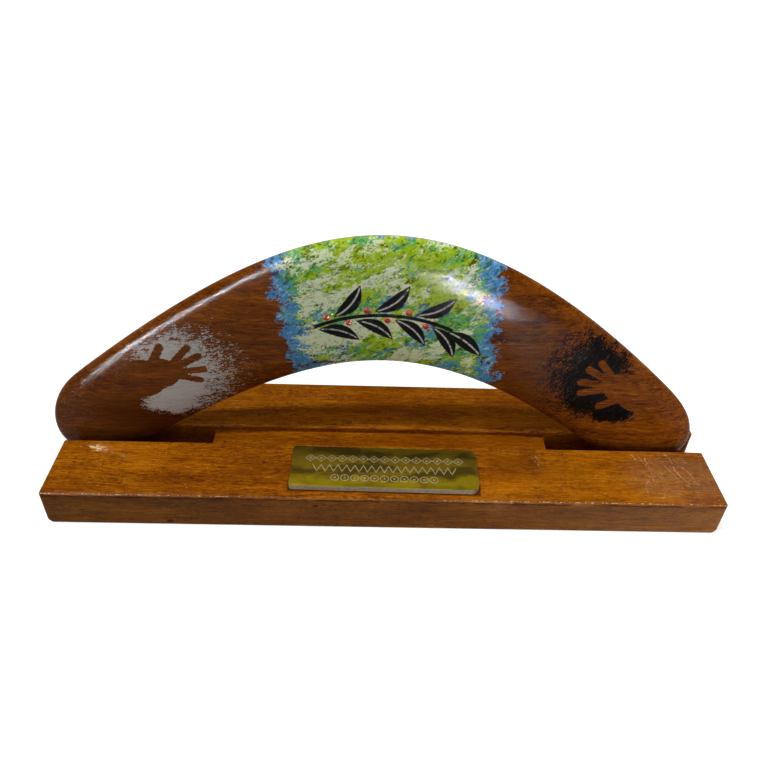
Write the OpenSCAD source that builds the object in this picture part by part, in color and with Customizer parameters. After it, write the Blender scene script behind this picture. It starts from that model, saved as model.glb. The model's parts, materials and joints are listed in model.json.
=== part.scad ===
// Display boomerang standing on edge in a routed timber base with a small plaque.
// X runs along the base, -Y is the front, Z is up, and the origin is the centre of the base's underside.

/* [Base] */
// Length of the base
base_length = 301; // [240:1:400]
// Height of the base
base_height = 19; // [16:0.5:28]
// Depth of each of the two rails, front to back
rail_depth = 34; // [20:0.5:60]
// Radius of the base's four upright corners
base_corner = 1; // [0.5:0.1:6]
// Radius of the two long outer edges on top
base_round = 1.6; // [1:0.1:4]
// Radius that eases the other long edges and the top of the ends
base_easing = 1; // [0.3:0.1:2]
// Radius under the left end
left_foot = 4.5; // [1:0.5:6]
// Radius under the right end
right_foot = 4.5; // [1:0.5:6]

/* [Slot] */
// Width of the groove and of the pockets
slot_width = 12; // [10.5:0.5:20]
// Depth of the groove along the whole top
groove_depth = 3; // [1:0.5:6]
// Depth of the two end pockets that hold the tips
pocket_depth = 14.5; // [8:0.5:15.5]
// Distance between the inner ends of the two pockets
pocket_spacing = 159; // [100:1:190]
// Radius in the corners of a pocket's inner end
pocket_round = 2.5; // [0.5:0.1:4]
// Radius of the rails' upright corners where a pocket runs out
mouth_round = 1.8; // [0.5:0.1:3]
// Offset of both pockets along the base
pocket_shift = -3; // [-6:0.5:6]

/* [Boomerang] */
// Width of the blade across the elbow
elbow_width = 59; // [48:0.5:72]
// Radius of the upper edge at the elbow
upper_bend = 101; // [70:1:140]
// Radius of the lower edge at the elbow
lower_bend = 94.5; // [60:0.5:130]
// Height of the crowned front over the rim, at the elbow
front_crown = 6.2; // [4:0.1:6.6]
// Height of the crowned front over the rim, at the tips
tip_crown = 4.6; // [3:0.1:6]
// Height of the flat back behind the rim
back_depth = 2.8; // [2:0.1:3.4]
// Distance from the end of the crown's ridge to the tip
ridge_stop = 24; // [15:1:34]
// Offset of the boomerang along the base
blade_shift = -3; // [-10:0.5:8]
// Angle that the boomerang leans back, in degrees
lean = 5; // [0:0.5:6]

/* [Right arm] */
// Slope that the upper edge tends to, in degrees
right_upper_slope = 50.5; // [44:0.5:54]
// Slope that the lower edge tends to, in degrees
right_lower_slope = 46.5; // [42:0.5:50]
// Distance from the middle of the elbow to the end of the upper edge, along X
right_upper_run = 134.5; // [122:0.5:146]
// Distance from the middle of the elbow to the end of the lower edge, along X
right_lower_run = 102; // [90:0.5:114]
// How far the upper edge's line pulls the tip's curve outwards
right_upper_pull = 48.5; // [36:0.5:62]
// How far the lower edge's line pulls the tip's curve outwards
right_lower_pull = 41.5; // [30:0.5:56]

/* [Left arm] */
// Slope that the upper edge tends to, in degrees
left_upper_slope = 44; // [40:0.5:50]
// Slope that the lower edge tends to, in degrees
left_lower_slope = 38; // [35:0.5:44]
// Distance from the middle of the elbow to the end of the upper edge, along X
left_upper_run = 140; // [128:0.5:148]
// Distance from the middle of the elbow to the end of the lower edge, along X
left_lower_run = 107; // [96:0.5:116]
// How far the upper edge's line pulls the tip's curve outwards
left_upper_pull = 31.5; // [24:0.5:46]
// How far the lower edge's line pulls the tip's curve outwards
left_lower_pull = 60.5; // [46:0.5:72]

/* [Plaque] */
// Length of the plaque
plaque_length = 84; // [50:1:110]
// Width of the plaque, front to back
plaque_width = 25; // [15:0.5:30]
// Radius of the plaque's right corners
plaque_round = 4; // [2:0.5:6]
// Radius of the plaque's left corners
plaque_nip = 1.5; // [0.5:0.1:3]
// Thickness of the white core
core_thickness = 2.3; // [0.8:0.1:3]
// Thickness of the gold face layer
face_thickness = 0.3; // [0.2:0.05:0.6]
// Thickness of the adhesive tape
tape_thickness = 0.4; // [0.3:0.1:1]
// How far the tape stays inside the plaque's outline
tape_inset = 1.2; // [0.5:0.1:3]
// Distance from the front of the base to the middle of the plaque
plaque_setback = 16.5; // [15:0.5:22]
// Offset of the plaque along the base
plaque_shift = -1.5; // [-20:0.5:20]
// Angle that the plaque is stuck on askew, in degrees
plaque_skew = -0.8; // [-4:0.1:4]

/* [Fit] */
// Gap under and behind the boomerang where it rests
rest_gap = 0.3; // [0.25:0.05:0.6]

/* [Hidden] */
$fn = 64;

// Counts that set how finely the blade is lofted
arm_steps = 20;
tip_steps = 16;
front_rings = 9;
back_rings = 6;
// Powers of the section's curve: a soft crown in front, and a flat back with a rounded rim
front_power = 2.3;
back_power = 7;

// A cut reaches this far past the face that it opens
overcut = 1;

base_depth = 2 * rail_depth + slot_width;
pocket_floor = base_height - pocket_depth;
groove_floor = base_height - groove_depth;
slot_r = slot_width / 2;
tape_round = max(plaque_round - tape_inset, 0.5);
tape_nip = max(plaque_nip - tape_inset, 0.3);
plaque_y = plaque_setback - base_depth / 2;
core_z = base_height + tape_thickness;
face_z = core_z + core_thickness;

// Flat rectangle centred on the origin, with one corner radius on the right and one on the left
module rounded_plate(size_x, size_y, right_r, left_r) {
    right = size_x / 2 - right_r;
    left = size_x / 2 - left_r;
    translate([-left, -size_y / 2]) square([left + right, size_y]);
    translate([0, right_r - size_y / 2]) square([size_x / 2, size_y - 2 * right_r]);
    translate([-size_x / 2, left_r - size_y / 2]) square([size_x / 2, size_y - 2 * left_r]);
    for (side = [-1, 1]) {
        translate([right, side * (size_y / 2 - right_r)]) circle(r = right_r);
        translate([-left, side * (size_y / 2 - left_r)]) circle(r = left_r);
    }
}

// End view of the base: two eased rails joined under the groove, with rounded outer edges on top
module base_profile() {
    intersection() {
        union() {
            for (side = [-1, 1])
                translate([side * (slot_width + rail_depth) / 2, base_height / 2])
                    rounded_plate(rail_depth, base_height, base_easing, base_easing);
            translate([-slot_r - rail_depth / 2, 0]) square([slot_width + rail_depth, groove_floor]);
        }
        rounded_plate(base_depth, 2 * base_height, base_round, base_round);
    }
}

// Front view of the base: eased on top, and rounded under its two ends
module front_profile() {
    intersection() {
        translate([0, base_height / 2])
            rounded_plate(base_length, base_height, base_easing, base_easing);
        translate([0, base_height])
            rounded_plate(base_length, 2 * base_height, right_foot, left_foot);
    }
}

// Block with eased ends, in the outline that the end view is cut to
module eased_block() {
    intersection() {
        linear_extrude(base_height)
            rounded_plate(base_length, base_depth, base_corner, base_corner);
        translate([0, base_depth / 2, 0])
            rotate([90, 0, 0]) linear_extrude(base_depth) front_profile();
    }
}

// Plan of a pocket on the right, from its inner end out through the end of the base
module pocket_plan(inner_x) {
    corner_x = inner_x + pocket_round;
    mouth_x = base_length / 2 - mouth_round;
    translate([corner_x, -slot_r]) square([base_length / 2 + overcut - corner_x, slot_width]);
    translate([inner_x, pocket_round - slot_r])
        square([2 * pocket_round, slot_width - 2 * pocket_round]);
    for (edge = [-1, 1]) translate([corner_x, edge * (slot_r - pocket_round)]) circle(r = pocket_round);
    difference() {
        translate([mouth_x, -slot_r - mouth_round])
            square([mouth_round + overcut, slot_width + 2 * mouth_round]);
        for (edge = [-1, 1])
            translate([mouth_x, edge * (slot_r + mouth_round)]) circle(r = mouth_round);
    }
}

// Cut of the end pocket on one side
module pocket_cut(side) {
    rotate(side < 0 ? 180 : 0)
        translate([0, 0, pocket_floor])
            linear_extrude(pocket_depth + overcut)
                pocket_plan(pocket_spacing / 2 + side * pocket_shift);
}

module base() {
    color("peru")
        difference() {
            intersection() {
                eased_block();
                rotate([90, 0, 90])
                    translate([0, 0, -base_length / 2])
                        linear_extrude(base_length) base_profile();
            }
            for (side = [-1, 1]) pocket_cut(side);
        }
}

module on_plaque(height) {
    translate([plaque_shift, plaque_y, height]) rotate(plaque_skew) children();
}

module plaque_tape() {
    color("dimgray")
        on_plaque(base_height)
            linear_extrude(tape_thickness)
                rounded_plate(plaque_length - 2 * tape_inset, plaque_width - 2 * tape_inset,
                              tape_round, tape_nip);
}

module plaque_core() {
    color("whitesmoke")
        on_plaque(core_z)
            linear_extrude(core_thickness)
                rounded_plate(plaque_length, plaque_width, plaque_round, plaque_nip);
}

module plaque_face() {
    color("goldenrod")
        on_plaque(face_z)
            linear_extrude(face_thickness)
                rounded_plate(plaque_length, plaque_width, plaque_round, plaque_nip);
}

// The blade is drawn in its own plane, as [across, up], from the top of the elbow.
// Each edge is a branch of a hyperbola: a bend at the elbow that runs out to a straight arm.
function fall(x, bend, slope) =
    let (reach = bend * pow(tan(slope), 2)) norm([reach, x * tan(slope)]) - reach;
function heading(x, bend, slope) =
    let (reach = bend * pow(tan(slope), 2), step = pow(tan(slope), 2) * x / norm([reach, x * tan(slope)]))
    [1, -step] / norm([1, step]);
function upper_edge(x, slope) = [x, -fall(x, upper_bend, slope)];
function lower_edge(x, slope) = [x, -elbow_width - fall(x, lower_bend, slope)];

// The tip is one cubic curve from the end of the upper edge round to the end of the lower edge
function tip_point(pulls, t) =
    pow(1 - t, 3) * pulls[0] + 3 * pow(1 - t, 2) * t * pulls[1]
    + 3 * (1 - t) * t * t * pulls[2] + pow(t, 3) * pulls[3];

// Outline of one arm, from the top of the elbow round the tip to the underside of the elbow
function arm_outline(upper_slope, lower_slope, upper_run, lower_run, upper_pull, lower_pull) =
    let (
        upper_end = upper_edge(upper_run, upper_slope),
        lower_end = lower_edge(lower_run, lower_slope),
        pulls = [
            upper_end,
            upper_end + upper_pull * heading(upper_run, upper_bend, upper_slope),
            lower_end + lower_pull * heading(lower_run, lower_bend, lower_slope),
            lower_end
        ]
    )
    concat(
        [for (i = [0:arm_steps]) upper_edge(upper_run * i / arm_steps, upper_slope)],
        [for (i = [1:tip_steps - 1]) tip_point(pulls, i / tip_steps)],
        [for (i = [arm_steps:-1:0]) lower_edge(lower_run * i / arm_steps, lower_slope)]
    );
right_outline = arm_outline(right_upper_slope, right_lower_slope, right_upper_run, right_lower_run,
                            right_upper_pull, right_lower_pull);
left_outline = arm_outline(left_upper_slope, left_lower_slope, left_upper_run, left_lower_run,
                           left_upper_pull, left_lower_pull);
half_count = len(right_outline);
loop_count = 2 * half_count - 2;
last_pair = (half_count - 1) / 2;

// The ridge runs midway between paired points of the two edges, and stops short of the tip
function midway(outline, pair) = (outline[pair] + outline[half_count - 1 - pair]) / 2;
function ridge_line(outline) =
    let (
        arm_end = midway(outline, arm_steps),
        share = 1 - ridge_stop / norm(midway(outline, last_pair) - arm_end)
    )
    [for (pair = [0:last_pair])
        pair <= arm_steps
            ? midway(outline, pair)
            : arm_end + share * (midway(outline, pair) - arm_end)];
right_ridge = ridge_line(right_outline);
left_ridge = ridge_line(left_outline);

// The loop of the rim goes down the right arm and comes back up the left one, which is drawn mirrored
function half_index(i) = i < half_count ? i : loop_count - i;
function pair_index(i) = min(half_index(i), half_count - 1 - half_index(i));
function mirrored(point) = [-point[0], point[1]];
function rim_at(i) = i < half_count ? right_outline[i] : mirrored(left_outline[half_index(i)]);
function ridge_at(i) =
    i < half_count ? right_ridge[pair_index(i)] : mirrored(left_ridge[pair_index(i)]);
function crown_at(i) =
    let (ridge_end = i < half_count ? right_ridge[last_pair] : left_ridge[last_pair])
    front_crown + (tip_crown - front_crown) * pow(ridge_at(i)[0] / ridge_end[0], 2);

// One point of the blade: on the rim at angle 0, and over the ridge at 90
function blade_point(i, angle, power, depth) =
    let (
        inward = 1 - pow(cos(angle), 2 / power),
        rise = pow(sin(angle), 2 / power),
        flat = rim_at(i) + inward * (ridge_at(i) - rim_at(i))
    )
    [flat[0], depth * rise, flat[1]];
function front_point(i, ring) = blade_point(i, 90 * ring / front_rings, front_power, -crown_at(i));
function back_point(i, ring) = blade_point(i, 90 * ring / back_rings, back_power, back_depth);

// Rings from the back inwards to the rim, and on to the front, with a ridge line at each end
ring_points = concat(
    [for (ring = [back_rings - 1:-1:0], i = [0:loop_count - 1]) back_point(i, ring)],
    [for (ring = [1:front_rings - 1], i = [0:loop_count - 1]) front_point(i, ring)]
);
ring_count = back_rings + front_rings - 1;
ridge_order = concat([for (pair = [0:last_pair]) pair], [for (pair = [1:last_pair]) loop_count - pair]);
ridge_points = concat(
    [for (i = ridge_order) front_point(i, front_rings)],
    [for (i = ridge_order) back_point(i, back_rings)]
);
ridge_count = len(ridge_order);
function ring_vertex(ring, i) = ring * loop_count + i % loop_count;
function ridge_vertex(i) = pair_index(i) + (i < half_count ? 0 : last_pair);
function front_ridge(i) = ring_count * loop_count + ridge_vertex(i % loop_count);
function back_ridge(i) = front_ridge(i) + ridge_count;

blade_faces = concat(
    [for (ring = [0:ring_count - 2], i = [0:loop_count - 1], half = [0, 1])
        half == 0
            ? [ring_vertex(ring, i), ring_vertex(ring, i + 1), ring_vertex(ring + 1, i + 1)]
            : [ring_vertex(ring, i), ring_vertex(ring + 1, i + 1), ring_vertex(ring + 1, i)]],
    [for (i = [0:loop_count - 1], half = [0, 1])
        half == 0
            ? [ring_vertex(ring_count - 1, i), ring_vertex(ring_count - 1, i + 1), front_ridge(i + 1)]
            : [ring_vertex(ring_count - 1, i), front_ridge(i + 1), front_ridge(i)]],
    [for (i = [0:loop_count - 1], half = [0, 1])
        half == 0
            ? [ring_vertex(0, i + 1), ring_vertex(0, i), back_ridge(i)]
            : [ring_vertex(0, i + 1), back_ridge(i), back_ridge(i + 1)]]
);

// The blade rolls in its own plane until both tips stand at one height
function low_point(outline) =
    let (low = min([for (point = outline) point[1]])) [for (point = outline) if (point[1] == low) point][0];
right_low = low_point(right_outline);
left_low = low_point(left_outline);
roll = atan((left_low[1] - right_low[1]) / (left_low[0] + right_low[0]));
blade_low = min([for (i = [0:loop_count - 1]) rim_at(i)[0] * sin(roll) + rim_at(i)[1] * cos(roll)]);

// The tips stand on the pocket floors, and the back leans on the rear rail's edge
seat_z = pocket_floor + rest_gap;
seat_y = slot_r - rest_gap - back_depth * cos(lean) - (base_height - seat_z) * tan(lean);

module boomerang() {
    color("saddlebrown")
        translate([blade_shift, seat_y, seat_z])
            rotate([-lean, 0, 0])
                translate([0, 0, -blade_low])
                    rotate([0, -roll, 0])
                        polyhedron(points = concat(ring_points, ridge_points), faces = blade_faces);
}

base();
plaque_tape();
plaque_core();
plaque_face();
boomerang();
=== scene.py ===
"""Dresses a boomerang on its display stand: timber, varnish, paint, stencils, plaque and studio"""
import json
from math import cos, pi, radians, sin

import bmesh
import bpy
from bpy.props import FloatProperty, FloatVectorProperty, IntProperty, PointerProperty
from mathutils import Matrix, Vector
from mathutils.bvhtree import BVHTree


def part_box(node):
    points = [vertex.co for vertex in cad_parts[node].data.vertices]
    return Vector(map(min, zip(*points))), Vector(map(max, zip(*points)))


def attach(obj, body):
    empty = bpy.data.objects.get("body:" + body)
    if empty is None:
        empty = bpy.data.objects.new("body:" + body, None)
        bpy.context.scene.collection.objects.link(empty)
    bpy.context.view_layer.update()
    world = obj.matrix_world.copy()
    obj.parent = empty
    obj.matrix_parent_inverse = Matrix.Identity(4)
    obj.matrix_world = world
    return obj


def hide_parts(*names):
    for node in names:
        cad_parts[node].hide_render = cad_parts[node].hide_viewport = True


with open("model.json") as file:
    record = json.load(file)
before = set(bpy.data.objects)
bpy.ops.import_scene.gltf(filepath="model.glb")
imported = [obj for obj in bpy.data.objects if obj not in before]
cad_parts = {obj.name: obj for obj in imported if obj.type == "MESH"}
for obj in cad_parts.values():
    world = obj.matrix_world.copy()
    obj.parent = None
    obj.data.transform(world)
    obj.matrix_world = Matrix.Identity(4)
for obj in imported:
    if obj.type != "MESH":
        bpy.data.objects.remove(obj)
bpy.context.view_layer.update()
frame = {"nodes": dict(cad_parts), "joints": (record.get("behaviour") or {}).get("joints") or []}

bl_info = {
    "name": "Boomerang Display",
    "version": (1, 0, 0),
    "blender": (4, 5, 0),
    "location": "View3D > Sidebar > Boomerang",
    "description": "Finishes a painted boomerang, its timber stand and its plaque",
    "category": "Object",
}

MM = 0.001

# The blade's own directions: up along its lift, back through its thickness, and out of its front
UP = Vector(frame["joints"][0]["axis"]).normalized()
BACK = Vector((0, UP.z, -UP.y))
FRONT = -BACK

# Thickness of the blade's rim, and the depth along BACK of its front edge, in millimetres
RIM_DEPTH = 2.8
BLADE_DEPTHS = [BACK.dot(v.co) / MM for v in frame["nodes"]["boomerang"].data.vertices]
FRONT_EDGE = max(BLADE_DEPTHS) - RIM_DEPTH

# Size of the base in millimetres, and the rounding of its edges
_, BASE_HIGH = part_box("base")
BASE_HALF_LENGTH, BASE_HALF_DEPTH, BASE_HEIGHT = (side / MM for side in BASE_HIGH)
BASE_ROUND = 1.6

# Middle of the plaque in metres, half its sides in millimetres, and its turn on the base
PLAQUE_LOW, PLAQUE_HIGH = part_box("plaque_face")
PLAQUE_MIDDLE = (PLAQUE_LOW + PLAQUE_HIGH) / 2
PLAQUE_HALF_LENGTH = 42
PLAQUE_HALF_WIDTH = 12.5
PLAQUE_TURN = radians(-0.8)


def tint(code):
    """Linear colour of a six-digit screen colour code"""
    parts = [int(code[i:i + 2], 16) / 255 for i in (0, 2, 4)]
    return tuple(p / 12.92 if p <= 0.04045 else ((p + 0.055) / 1.055) ** 2.4 for p in parts)


def colour_setting(name, description, code):
    """A colour that a user may change"""
    return FloatVectorProperty(name=name, description=description, subtype="COLOR", size=3,
                               min=0, max=1, default=tint(code))


def length_setting(name, description, default):
    """A length that a user may change"""
    return FloatProperty(name=name, description=description, unit="LENGTH", min=0, default=default)


# ---------------------------------------------------------------- shader maths

class Wire:
    """A shader socket that can stand in a Python expression"""

    def __init__(self, finish, socket):
        self.finish = finish
        self.socket = socket

    def __add__(self, other):
        return self.finish.maths("ADD", self, other)

    def __sub__(self, other):
        return self.finish.maths("SUBTRACT", self, other)

    def __mul__(self, other):
        return self.finish.maths("MULTIPLY", self, other)

    def __truediv__(self, other):
        return self.finish.maths("DIVIDE", self, other)

    def __rsub__(self, other):
        return self.finish.maths("SUBTRACT", other, self)

    def __rtruediv__(self, other):
        return self.finish.maths("DIVIDE", other, self)

    def __abs__(self):
        return self.finish.maths("ABSOLUTE", self)

    __radd__ = __add__
    __rmul__ = __mul__

    def least(self, other):
        """The smaller of two values"""
        return self.finish.maths("MINIMUM", self, other)

    def most(self, other):
        """The larger of two values"""
        return self.finish.maths("MAXIMUM", self, other)

    def step(self, low, high):
        """0 below low, 1 above high, and smooth between; high may be the lower one"""
        return self.finish.node("ShaderNodeMapRange", {"interpolation_type": "SMOOTHSTEP"},
                                {"Value": self, "From Min": low, "From Max": high})


class Finish:
    """One material, and the nodes that make it"""

    def __init__(self, name):
        self.material = bpy.data.materials.new(name)
        self.material.use_nodes = True
        self.tree = self.material.node_tree
        self.tree.nodes.clear()

    def node(self, kind, settings=None, sockets=None, output=0):
        """Adds a node: its settings first, then the values or links of its sockets"""
        made = self.tree.nodes.new(kind)
        for name, value in (settings or {}).items():
            setattr(made, name, value)
        for name, value in (sockets or {}).items():
            socket = made.inputs[name]
            if isinstance(value, Wire):
                self.tree.links.new(value.socket, socket)
            elif socket.type == "RGBA" and len(value) == 3:
                socket.default_value = (*value, 1)
            else:
                socket.default_value = value
        return Wire(self, made.outputs[output]) if len(made.outputs) else made

    def maths(self, operation, *values):
        """A Math node"""
        return self.node("ShaderNodeMath", {"operation": operation}, dict(enumerate(values)))

    def vector(self, operation, *values):
        """A Vector Math node; a product, length or distance gives a number"""
        output = "Value" if operation in ("DOT_PRODUCT", "LENGTH", "DISTANCE") else "Vector"
        return self.node("ShaderNodeVectorMath", {"operation": operation}, dict(enumerate(values)),
                         output)

    def blend(self, factor, first, second):
        """Mixes two colours; 0 gives the first"""
        settings = {"data_type": "RGBA", "clamp_factor": True}
        return self.node("ShaderNodeMix", settings, {0: factor, 6: first, 7: second}, 2)

    def noise(self, place, scale=1.0, detail=2.0, roughness=0.5, distortion=0.0):
        """Cloudy noise about 0.5"""
        return self.node("ShaderNodeTexNoise", None,
                         {"Vector": place, "Scale": scale, "Detail": detail,
                          "Roughness": roughness, "Distortion": distortion})

    def cells(self, place, scale):
        """Distance to the nearest of many scattered points"""
        return self.node("ShaderNodeTexVoronoi", None, {"Vector": place, "Scale": scale},
                         "Distance")

    def bump(self, height, depth):
        """Normal of a surface that rises by depth, in millimetres, where height is 1"""
        return self.node("ShaderNodeBump", None,
                         {"Height": height, "Strength": 1.0, "Distance": depth * MM})

    def object_point(self):
        """Place on the piece, in millimetres"""
        place = self.node("ShaderNodeTexCoord", None, None, "Object")
        return self.vector("MULTIPLY", place, (1 / MM,) * 3)

    def split(self, place):
        """The three numbers of a vector"""
        made = self.node("ShaderNodeSeparateXYZ", None, {"Vector": place}).socket.node
        return [Wire(self, made.outputs[axis]) for axis in range(3)]

    def join(self, x, y, z):
        """A vector of three numbers"""
        return self.node("ShaderNodeCombineXYZ", None, {"X": x, "Y": y, "Z": z})

    def surface(self, **sockets):
        """Ends the material in one shader, whose sockets are named with underscores"""
        named = {name.replace("_", " "): value for name, value in sockets.items()}
        shader = self.node("ShaderNodeBsdfPrincipled", None, named)
        self.node("ShaderNodeOutputMaterial", None, {"Surface": shader})
        return self.material


# ---------------------------------------------------------------- settings

# Strength of the varnish's shine, low so that the pale floor leaves the timber's colour deep
BLADE_SHINE = 0.035
BASE_SHINE = 0.014

# Width of the timber's bands and thickness of its fibres, in millimetres
BLADE_GRAIN = (6, 0.55)
BASE_GRAIN = (9, 0.62)


class BladeSettings(bpy.types.PropertyGroup):
    """Timber and varnish of the boomerang"""
    light_wood: colour_setting("Light Wood", "Palest streaks of the timber", "9A5610")
    mid_wood: colour_setting("Mid Wood", "Main colour of the timber", "743A08")
    # Its darkest brown also paints shade low on the left arm and beside the patch
    dark_wood: colour_setting("Dark Wood", "Darkest streaks of the timber", "441F06")
    pore: colour_setting("Pores", "Short dark pores of the timber", "1E0D04")
    pore_level: FloatProperty(name="Pore Level", description="Higher leaves fewer pores",
                              default=0.68, min=0.5, max=1)
    smoothing: IntProperty(name="Smoothing", description="Subdivisions of the blade's mesh",
                           default=2, min=0, max=3)


class PaintSettings(bpy.types.PropertyGroup):
    """Colours and places of the paint on the boomerang"""
    blue: colour_setting("Blue", "Ground coat that shows along the borders", "4F93CC")
    deep_green: colour_setting("Deep Green", "Second coat", "62AE5C")
    leaf_green: colour_setting("Leaf Green", "Third coat", "A4C414")
    cream: colour_setting("Cream", "Top coat", "DDE8BE")
    shadow: colour_setting("Shadow", "Thin paint, where the ground shows through", "3A4F26")
    black: colour_setting("Black", "Sprig and right stencil", "0B0C0C")
    white: colour_setting("White", "Left stencil and veins", "C9C8C2")
    red: colour_setting("Red", "Berries", "D2261C")
    yellow: colour_setting("Yellow", "Small dots", "D9C02E")
    patch_middle: FloatProperty(name="Patch Middle", default=-1,
                                description="Middle of the patch along the base, in millimetres")
    patch_half: FloatProperty(name="Patch Half Width", default=46.5, min=10,
                              description="Half the width of the patch, in millimetres")
    front_edge: FloatProperty(name="Front Edge", default=FRONT_EDGE,
                              description="Depth behind which no paint goes, in millimetres")


class StandSettings(bpy.types.PropertyGroup):
    """Timber of the base"""
    light_wood: colour_setting("Light Wood", "Palest streaks of the timber", "B26C10")
    mid_wood: colour_setting("Mid Wood", "Main colour of the timber", "8F4E02")
    # Its darkest brown also paints the shade down in the groove and pockets
    dark_wood: colour_setting("Dark Wood", "Darkest streaks of the timber", "642F02")
    # The pores' colour also paints shade: round the plaque and in the line below the front edge
    pore: colour_setting("Pores", "Short dark pores of the timber", "3A1604")
    # Its colour paints the reflected sheen on the top's right end and the paler front, and the
    # scuff
    sheen_and_scuff: colour_setting("Haze", "Rubbed, milky varnish", "B59878")
    # Also paints highlights: the reflection streak, the top's sparkles and the front edge's glints
    worn: colour_setting("Worn Edge", "Chips, scratches and rubs in the varnish", "F2CFA0")
    pore_level: FloatProperty(name="Pore Level", description="Higher leaves fewer pores",
                              default=0.615, min=0.5, max=1)


class PlaqueSettings(bpy.types.PropertyGroup):
    """Layers of the plaque"""
    # Bright and deep gold paint the face's reflection, bright in front and dim towards the
    # boomerang
    bright_gold: colour_setting("Bright Gold", "Face towards the front", "A48E08")
    deep_gold: colour_setting("Deep Gold", "Tarnished face towards the boomerang", "765E04")
    engraving: colour_setting("Engraving", "Core at the bottom of the engraved lines", "847848")
    core: colour_setting("Core", "Pale core", "907A50")
    grime: colour_setting("Grime", "Dirt on the core's edge", "543F28")
    tape: colour_setting("Tape", "Adhesive tape", "241C16")


class StageSettings(bpy.types.PropertyGroup):
    """Floor, lamps and camera"""
    floor_radius: length_setting("Floor Radius", "Radius of the round floor", 3.0)
    cove_height: length_setting("Cove Height", "Height of the rim that the floor rises to", 1.2)
    ambient: FloatProperty(name="Ambient", description="Strength of the light from all around",
                           default=0.08, min=0)
    key: FloatProperty(name="Key", description="Strength of the key light", default=1.7, min=0)
    fill: FloatProperty(name="Fill", description="Strength of the lamps that lighten the fronts",
                        default=1, min=0)
    glint: FloatProperty(name="Glint", description="Strength of the tubes that draw the glints",
                         default=1, min=0)
    softbox: FloatProperty(name="Softbox", description="Power of the light overhead", default=26,
                           min=0)


# ---------------------------------------------------------------- timber

def along_grain(finish, point, along, across):
    """Point with the pattern drawn out along X: lengths of the pattern in millimetres"""
    return finish.vector("MULTIPLY", point, (1 / along, 1 / across, 1 / across))


def timber(finish, point, settings, band_size, fibre_size):
    """Colour of straight-grained timber along X, with its tone and its pores as numbers"""
    waver = finish.noise(along_grain(finish, point, 70, 24), detail=1)
    bent = finish.vector("ADD", point, finish.join(0, waver * band_size, waver * band_size))
    bands = finish.noise(along_grain(finish, bent, 110, band_size), detail=2, roughness=0.55)
    streaks = finish.noise(along_grain(finish, bent, 24, fibre_size * 2), detail=2, roughness=0.6)
    fibres = finish.noise(along_grain(finish, point, 6, fibre_size), detail=3, roughness=0.8)
    tone = bands * 0.25 + streaks * 0.21 + fibres * 0.54
    colour = finish.blend(tone.step(0.4, 0.5), settings.dark_wood, settings.mid_wood)
    colour = finish.blend(tone.step(0.5, 0.62), colour, settings.light_wood)
    flecks = finish.noise(along_grain(finish, point, 3.4, 0.5), detail=1, roughness=0.4)
    painted_sparkles = finish.noise(along_grain(finish, point, 1.3, 0.65), detail=0)
    crowd = finish.noise(along_grain(finish, point, 40, 9), detail=1) * 0.3 - 0.15
    level = settings.pore_level
    pores = (painted_sparkles + crowd).step(level, level + 0.1) * 0.6
    pores = pores.most((flecks + crowd).step(level, level + 0.07))
    return finish.blend(pores * 0.85, colour, settings.pore), tone, pores


def spot(finish, place, centre, radii, edge):
    """1 inside an oval, fading outwards across edge; a radius of 0 leaves that direction free"""
    scale = tuple(1 / radius if radius else 0 for radius in radii)
    offset = finish.vector("MULTIPLY", finish.vector("SUBTRACT", place, centre), scale)
    return finish.vector("LENGTH", offset).step(1 + edge, 1 - edge)


def tapering_stroke(finish, point, waver, start, end, width, bend):
    """A curved, tapering stroke on the top of the base, between two places in plan; it draws the
    scratches and the streaks of painted reflection
    """
    start, end = Vector((*start, 0)), Vector((*end, 0))
    length = (end - start).length
    course = (end - start) / length
    offset = finish.vector("SUBTRACT", point, tuple(start))
    along = finish.vector("DOT_PRODUCT", offset, tuple(course))
    side = finish.vector("DOT_PRODUCT", offset, (-course.y, course.x, 0))
    share = along / length
    side = side - share * (1 - share) * bend * 4 + waver
    within = abs(along - length / 2).step(length / 2, length / 2 - 1.5)
    return abs(side).step((1.2 - share * 0.7) * width, 0) * within


def tapering_strokes(finish, point, rows):
    """All the strokes of a list in one mask, with a waver that they share"""
    waver = (finish.noise(point, 0.35, detail=2) - 0.5) * 2.4
    marks = tapering_stroke(finish, point, waver, *rows[0])
    for row in rows[1:]:
        marks = marks.most(tapering_stroke(finish, point, waver, *row))
    return marks


# Scratches on the base's top, in millimetres: start and end in plan, half width and bend
SCRATCHES = (
    ((117.5, -9), (120, -29), 0.3, 2.5),
    ((121, -10), (127, -26), 0.2, -1.5),
    ((118.5, -26), (116.5, -35), 0.42, -1.2),
    ((128, -15), (134, -31), 0.22, 1.2),
    ((133, -13), (138, -28), 0.3, -1.5),
    ((136.5, -16), (141, -30), 0.2, 1.5),
    ((130.5, -7), (133.5, -12.5), 0.35, 0.5),
    ((124, -32), (120.5, -37), 0.25, 1.0),
    ((115, -8), (117, -15), 0.25, 0.4),
    ((67.5, -12), (69.8, -20), 0.32, 0.8),
    ((68.8, -9.5), (70.4, -16), 0.25, 0.5),
)

# Broad streaks of painted reflection near the left end, in the same form
REFLECTION_STREAKS = (
    ((-129, -13.4), (-140, -8.2), 3.0, 0.6),
    ((-136, -10.2), (-117, -18.8), 3.6, 0.8),
)

# Places on the base, each an oval: its centre and radii in millimetres, and how softly it ends
PALE = ((88, -26, BASE_HEIGHT), (34, 14, 3), 0.8)
DUSKY = ((BASE_HALF_LENGTH, -30, BASE_HEIGHT), (17, 14, 3), 0.8)
SMUDGE = ((66.5, -14.5, BASE_HEIGHT), (4.5, 8, 3), 0.8)
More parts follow.
